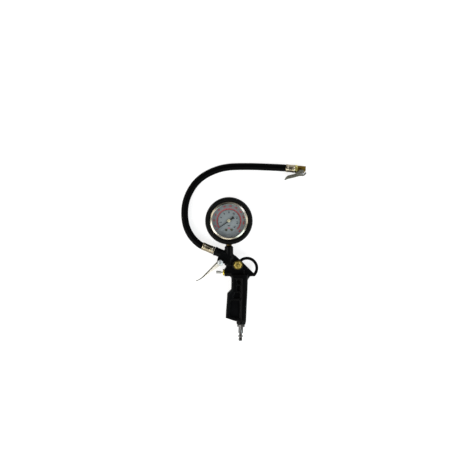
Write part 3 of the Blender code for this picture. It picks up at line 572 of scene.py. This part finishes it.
def sector_block(bm, inner, outer, start, stop, steps):
    """A flat raised band of the dial between two radii and two angles."""
    layers = []
    for z in (PRINT_LOW, PRINT_HIGH):
        for radius in (inner, outer):
            row = []
            for k in range(steps + 1):
                p = polar(radius, start + (stop - start) * k / steps)
                row.append(bm.verts.new((p.x, p.y, z * MM)))
            layers.append(row)
    a, b, c, d = layers
    for k in range(steps):
        bm.faces.new((a[k], a[k + 1], b[k + 1], b[k]))
        bm.faces.new((c[k], d[k], d[k + 1], c[k + 1]))
        bm.faces.new((a[k], c[k], c[k + 1], a[k + 1]))
        bm.faces.new((b[k], b[k + 1], d[k + 1], d[k]))
    bm.faces.new((a[0], b[0], d[0], c[0]))
    bm.faces.new((a[-1], c[-1], d[-1], b[-1]))


def tick(bm, inner, outer, degrees, width):
    half = math.degrees(width / 2 / ((inner + outer) / 2))
    sector_block(bm, inner, outer, degrees - half, degrees + half, 1)


def scale_marks(name, material, value_end, minor, major, long, line, ticks_out):
    """One scale: its arc and its ticks, from the zero stop to the end. line is the arc's radii."""
    bm = bmesh.new()
    arc_in, arc_out = line
    sector_block(bm, arc_in, arc_out, ZERO_STOP, SCALE_END, 120)
    count = int(value_end / minor + 0.5)
    for k in range(count + 1):
        value = k * minor
        degrees = dial_angle(value, value_end)
        if degrees > ZERO_STOP:
            continue
        strong = k % round(major / minor) == 0
        reach = long if strong else long * MINOR_SHARE
        width = MAJOR_WIDTH if strong else MINOR_WIDTH
        if ticks_out:
            tick(bm, arc_out + 0.02, arc_out + reach, degrees, width)
        else:
            tick(bm, arc_in - reach, arc_in - 0.02, degrees, width)
    return add_piece(name, bm, material, "gun")


scale_marks(
    "dial_scale_red", dial_red, PSI_SPAN, 2, 20, 1.9, (RED_RADIUS - 0.6, RED_RADIUS + 0.6), True,
)
scale_marks(
    "dial_scale_black", dial_black, BAR_SPAN, 0.2, 1, 1.5,
    (BLACK_RADIUS - 0.2, BLACK_RADIUS + 0.2), False,
)


def lettering(name, words, material):
    """Raised print from (text, height, place, turn in degrees) rows, as one piece."""
    bm = bmesh.new()
    for text, height, place, turn in words:
        curve = bpy.data.curves.new("text", "FONT")
        curve.body = text
        curve.size = height / CAPITAL_SHARE * MM
        curve.align_x, curve.align_y = "CENTER", "CENTER"
        curve.extrude = (PRINT_HIGH - PRINT_LOW) / 2 * MM
        curve.offset = height * BOLDER * MM
        curve.resolution_u = 3
        holder = bpy.data.objects.new("text", curve)
        bpy.context.scene.collection.objects.link(holder)
        bpy.context.view_layer.update()
        shown = holder.evaluated_get(bpy.context.evaluated_depsgraph_get())
        mesh = bpy.data.meshes.new_from_object(shown)
        lift = Vector((place.x, place.y, (PRINT_LOW + PRINT_HIGH) / 2 * MM))
        mesh.transform(Matrix.Translation(lift) @ Matrix.Rotation(math.radians(turn), 4, "Z"))
        bm.from_mesh(mesh)
        bpy.data.objects.remove(holder)
        bpy.data.curves.remove(curve)
        bpy.data.meshes.remove(mesh)
    bmesh.ops.remove_doubles(bm, verts=bm.verts, dist=1e-7)
    return add_piece(name, bm, material, "gun")


def numbers(values, span, radius, height):
    """Rows for lettering: the values of one scale, each with its foot towards the middle."""
    rows = []
    for value in values:
        degrees = min(dial_angle(value, span), ZERO_STOP)
        rows.append((str(value), height, polar(radius, degrees), degrees - 90))
    return rows


lettering(
    "dial_numbers_black",
    numbers(range(2, 17, 2), BAR_SPAN, 13.8, 3.0) + [("bar", 2.3, polar(7.8, -90), 0)],
    dial_black,
)
lettering(
    "dial_numbers_red",
    numbers([*range(0, 201, 20), 230], PSI_SPAN, 24.2, 2.5) + [("psi", 2.3, polar(11.6, -90), 0)],
    dial_red,
)
frame["nodes"]["dial_plate"].data.materials[0] = dial_paint()


def window_glass():
    """Clear flat window: a thin reflecting film with faint smears."""
    material, tree, output = blank("window_glass")
    point = put(tree, "TexCoord").outputs["Object"]
    smear = noise(tree, point, 55, 4)
    clear = put(tree, "BsdfTransparent", {"Color": (0.96, 0.975, 0.98, 1)}).outputs[0]
    shine = put(
        tree, "BsdfGlossy",
        {"Color": (1, 1, 1, 1), "Roughness": ramp(tree, smear, 0.35, 0.7, 0.02, 0.08)},
    ).outputs[0]
    facing = put(tree, "Fresnel", {"IOR": 1.45}).outputs[0]
    outside = maths(tree, "SUBTRACT", 1.0, put(tree, "NewGeometry").outputs["Backfacing"])
    amount = maths(tree, "MULTIPLY", facing, outside)
    both = put(tree, "MixShader", {0: amount, 1: clear, 2: shine}).outputs[0]
    tree.links.new(both, output.inputs[0])
    return material


frame["nodes"]["gauge_lens"].data.materials[0] = window_glass()

# ---- metal parts ------------------------------------------------------------------

barrel_way = (Vector(HOSE_ROUTE[1]) - Vector(HOSE_ROUTE[0])).normalized()
barrel_line = (Vector(HOSE_ROUTE[0]) * MM, barrel_way)
chuck_way = (Vector(HOSE_ROUTE[-1]) - Vector(HOSE_ROUTE[-2])).normalized()
chuck_line = (Vector(HOSE_ROUTE[-1]) * MM, chuck_way)
valve_line = (middle("valve_gland"), Vector((1, 0, 0)))
stem_line = (middle("stem_socket"), Vector((0, 1, 0)))
inlet_way = (middle("inlet_washer") - middle("inlet_nipple")).normalized()
inlet_line = (middle("inlet_washer"), inlet_way)

BLEED_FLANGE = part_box("bleed_valve_body")[1].z - 0.0034  # above it is the bright hexagon
WEB_SHADE_WIDTH = 0.0018  # how wide the painted shade strip on the lever's side is


def finger_side():
    """The way that the lever's web faces, and how far out the painted shade strip on it starts."""
    lever = node_bmesh("trigger_lever")
    facing_left = (f for f in lever.faces if f.normal.x < -0.2 and abs(f.normal.z) < 0.1)
    web = max(facing_left, key=lambda f: f.calc_area())
    way = web.normal.copy()
    reach = web.calc_center_median().dot(way) - WEB_SHADE_WIDTH
    lever.free()
    return way, reach


WEB_WAY, WEB_REACH = finger_side()
gold = finish_of(
    "gold_brass", (0.10, 0.078, 0.014), (0.20, 0.155, 0.03), (0.22, 0.34), 0.85,
    broad=160, grain=5200, bump=0.1, depth=0.00002, lathe=upright("bleed_valve_body"),
    above=((0.70, 0.53, 0.13), BLEED_FLANGE),
)
button_brass = brass("button_brass", upright("bleed_button"), (0.22, 0.17, 0.04), (0.42, 0.34, 0.1))
gland_brass = brass("gland_brass", valve_line, (0.42, 0.33, 0.03), (0.75, 0.6, 0.08))
# painted shade: the brass collar under the gauge boot is coloured nearly black, as in the boot's
# shadow
shaded_socket_brass = brass("shaded_socket_brass", stem_line, (0.012, 0.008, 0.003), (0.035, 0.024, 0.008))
nut_brass = brass("nut_brass", chuck_line, (0.36, 0.31, 0.07), (0.62, 0.57, 0.22), (0.26, 0.4))
chuck_brass = brass(
    "chuck_brass", chuck_line, (0.075, 0.047, 0.006), (0.16, 0.105, 0.018), (0.3, 0.48),
)
hub_brass = dial_metal(
    "hub_brass", (0.55, 0.47, 0.28), (0.8, 0.72, 0.48), (0.3, 0.4), 0.35, "pointer_hub",
)
screw_chrome = finish_of(
    "screw_chrome", (0.28, 0.30, 0.305), (0.48, 0.50, 0.51), (0.34, 0.44), 0.6,
    broad=200, grain=3600, bump=0.12, depth=0.00003, lathe=upright("trigger_pivot_screw"),
)
pin_chrome = steel(
    "pin_chrome", valve_line, (0.24, 0.24, 0.235), (0.45, 0.45, 0.44), (0.2, 0.34), 0.6,
)
nipple_nickel = steel(
    "nipple_nickel", inlet_line, (0.025, 0.025, 0.026), (0.11, 0.108, 0.105), (0.12, 0.26),
)
# the rim tone of lever_nickel is painted shade: a dark strip along the web's side
lever_nickel = finish_of(
    "lever_nickel", (0.60, 0.56, 0.49), (0.74, 0.70, 0.63), (0.34, 0.5), 0.3,
    broad=120, grain=3000, bump=0.12, depth=0.00003,
    rim=((0.045, 0.042, 0.03), WEB_WAY, WEB_REACH),
    stretch=((0, 0, math.radians(45)), (0.12, 1, 1)),
)
clip_steel = finish_of(
    "clip_steel", (0.075, 0.073, 0.054), (0.18, 0.175, 0.14), (0.36, 0.55), 0.9,
    broad=420, grain=1800, bump=0.4, depth=0.00008,
)
olive_1, olive_2 = (
    dial_metal(name, (0.055, 0.05, 0.032), (0.12, 0.112, 0.075), (0.3, 0.45), 0.4, node)
    for name, node in (("dial_screw_olive", "dial_screw_1"), ("dial_screw_olive_2", "dial_screw_2"))
)
# each metal node's finish, and the width in mm of the round on its edges
METAL = {
    "bleed_valve_body": (gold, 0.3),
    "bleed_button": (button_brass, 0.25),
    "valve_gland": (gland_brass, 0.25),
    "stem_socket": (shaded_socket_brass, 0.2),
    "chuck_nut": (nut_brass, 0.35),
    "chuck_body": (chuck_brass, 0.35),
    "pointer_hub": (hub_brass, 0.15),
    "trigger_pivot_screw": (screw_chrome, 0.3),
    "trigger_pivot_nut": (steel("nut_steel", upright("trigger_pivot_nut")), 0.3),
    "valve_pin": (pin_chrome, 0.25),
    "inlet_nipple": (nipple_nickel, 0.3),
    "hose_fitting": (nickel("fitting_nickel", barrel_line), 0.3),
    "trigger_lever": (lever_nickel, 0.2),
    "chuck_lever": (clip_steel, 0.25),
    "chuck_pivot_pin": (steel("clip_pin_steel", upright("chuck_pivot_pin")), 0.15),
    "dial_screw_1": (olive_1, 0.1),
    "dial_screw_2": (olive_2, 0.1),
}
finished = {node: eased(node, *how) for node, how in METAL.items()}


CRIMP_JAWS, CRIMP_DEPTH, CRIMP_STEPS = 8, 0.14, 6
RIM_R, NECK_R, BAND_R = 6.6, 6.5, 6.42


def crimped_sleeve(node, line, name):
    """A pressed hose ferrule: plain rims and a band squeezed into flats by the crimping jaws."""
    base, axis = line
    along = [(v.co - base).dot(axis) / MM for v in frame["nodes"][node].data.vertices]
    low, high = min(along), max(along)
    inner = HOSE_R + 0.25
    band = (low + 3.6, high - 4.6)
    band_step = (band[1] - band[0]) / CRIMP_STEPS
    profile = [
        (inner, low), (6.45, low), (RIM_R, low + 0.2), (RIM_R, low + 3.0), (NECK_R, low + 3.3),
        *[(BAND_R, band[0] + band_step * k) for k in range(CRIMP_STEPS + 1)],
        (NECK_R, high - 4.2), (RIM_R, high - 3.9), (RIM_R, high - 0.4), (BAND_R, high - 0.1),
        (6.3, high), (inner, high),
    ]

    def pressed(distance, angle, radius):
        if radius < inner + 0.1 or not band[0] - 0.1 < distance < band[1] + 0.1:
            return 0.0
        return -CRIMP_DEPTH * (0.5 + 0.5 * math.cos(CRIMP_JAWS * angle)) ** 2

    sleeve = revolve(
        name, nickel(name + "_nickel", line), profile, base, axis, "gun", "nickel_plate", 96,
        pressed,
    )
    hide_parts(node)
    return sleeve


crimped_sleeve("hose_ferrule_body_end", barrel_line, "ferrule_body_end")
chuck_ferrule = crimped_sleeve("hose_ferrule_chuck_end", chuck_line, "ferrule_chuck_end")

plain_brass = brass("movement_brass", None)
plain_steel = steel("spring_steel")
dark_seal = seal_rubber()
# CAD nodes shown as they are
KEPT = {
    "gauge_case": body_shell.data.materials[0],
    "pointer": ink("pointer_black", (0.004, 0.004, 0.004), (0.01, 0.01, 0.01)),
    **dict.fromkeys(
        ("valve_packing", "valve_poppet", "bleed_seal", "inlet_washer", "lens_gasket",
         "chuck_seal"),
        dark_seal,
    ),
    **dict.fromkeys(("trigger_spring", "pinion_arbor", "link_rod", "chuck_spring"), plain_steel),
    **dict.fromkeys(
        ("valve_seat", "sector_gear", "movement_back_plate", "movement_front_plate",
         "movement_post_1", "movement_post_2", "movement_post_3", "hairspring", "chuck_core_pin"),
        plain_brass,
    ),
}
for node, material in KEPT.items():
    frame["nodes"][node].data.materials[0] = material


def flexed(node, material, moving, start, end):
    """A still copy of a CAD shape in place of the node. moving, start and end are not used."""
    piece = new_object(node + "_flexed", node_bmesh(node), material, 50)
    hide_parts(node)
    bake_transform(piece)


def ends(node, way):
    """The middles of a node's two end faces along an axis, the one that way last."""
    low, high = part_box(node)
    half = Vector(way) * (high - low).dot(Vector([abs(c) for c in way])) / 2
    return middle(node) - half, middle(node) + half


flexed("valve_spring", plain_steel, "valve_stem", *ends("valve_spring", (-1, 0, 0)))
flexed("bleed_spring", plain_steel, "bleed_plunger", *ends("bleed_spring", (0, 0, 1)))
tube_tip = Vector((middle("link_rod").x, gauge.y, 0))
flexed("bourdon_tube", plain_brass, "link", gauge, tube_tip)

# ---- floor, light -----------------------------------------------------------------

FLOOR_HALF = 4.0
FLOOR_PLACE = (0, 0.07, -0.0004)


def floor():
    """White paper that gives off some light itself, as a light table does."""
    material, tree, output = blank("floor_paper")
    point = put(tree, "TexCoord").outputs["Object"]
    drift = noise(tree, point, 3, 3)
    patch = ramp(tree, drift, 0.3, 0.7)
    colour = mixed(tree, patch, rgba((0.29, 0.29, 0.29)), rgba((0.31, 0.31, 0.31)))
    shader = put(
        tree, "BsdfPrincipled",
        {"Base Color": colour, "Roughness": 0.8, "Specular IOR Level": 0.2,
         "Emission Color": (1, 1, 1, 1), "Emission Strength": 0.76},
    )
    tree.links.new(shader.outputs[0], output.inputs[0])
    bm = bmesh.new()
    bmesh.ops.create_grid(bm, x_segments=24, y_segments=24, size=FLOOR_HALF)
    mesh = bpy.data.meshes.new("floor")
    bm.to_mesh(mesh)
    bm.free()
    mesh.materials.append(material)
    plane = bpy.data.objects.new("floor", mesh)
    plane.location = FLOOR_PLACE
    bpy.context.scene.collection.objects.link(plane)


LAMP_AIM = Vector((0, 0.05, 0.015))
LAMP_DISTANCE = 1.0
# name, azimuth, elevation, size, power, colour
SOFTBOXES = [
    ("left_key", 203, 44, (0.55, 0.45), 5.8, (1.0, 1.0, 0.99)),
    ("upper_left", 152, 40, (0.34, 0.4), 1.5, (1.0, 0.93, 0.78)),
    ("upper_right", 42, 42, (0.22, 0.4), 2.2, (0.78, 0.82, 1.0)),
    ("right", 5, 38, (0.3, 0.4), 1.5, (1.0, 0.96, 0.86)),
    ("lower_right", 315, 44, (0.4, 0.42), 4.2, (0.80, 0.97, 1.0)),
    ("lower", 262, 40, (0.5, 0.3), 1.8, (1.0, 0.95, 0.82)),
]
DARK_CARD = (108, 52)


def softbox(name, azimuth, elevation, size, power, colour):
    """A rectangular studio light, aimed at the gun."""
    data = bpy.data.lights.new(name, "AREA")
    data.shape = "RECTANGLE"
    data.size, data.size_y = size
    data.energy = power
    data.color = colour
    lamp = bpy.data.objects.new(name, data)
    way = direction(azimuth, elevation)
    lamp.location = LAMP_AIM + way * LAMP_DISTANCE
    lamp.rotation_mode = "QUATERNION"
    lamp.rotation_quaternion = way.to_track_quat("Z", "Y")
    bpy.context.scene.collection.objects.link(lamp)


def studio():
    """Bright walls under a dark ceiling, a dark card beyond the gauge, six soft boxes."""
    for row in SOFTBOXES:
        softbox(*row)
    world = bpy.data.worlds.new("studio")
    world.use_nodes = True
    tree = world.node_tree
    tree.nodes.clear()
    sky = put(tree, "TexCoord").outputs["Generated"]
    height = put(tree, "SeparateXYZ", {0: sky}).outputs[2]
    walls = ramp(tree, height, 0.62, 0.97, 1.0, 0.03)
    near_card = vector_maths(tree, "DOT_PRODUCT", sky, direction(*DARK_CARD)).outputs["Value"]
    level = maths(tree, "MULTIPLY", walls, ramp(tree, near_card, 0.90, 0.985, 1.0, 0.05))
    background = put(tree, "Background", {"Color": (1, 0.985, 0.95, 1), "Strength": level})
    output = put(tree, "OutputWorld")
    tree.links.new(background.outputs[0], output.inputs[0])
    bpy.context.scene.world = world
    bpy.context.scene.view_settings.view_transform = "Standard"


floor()
studio()
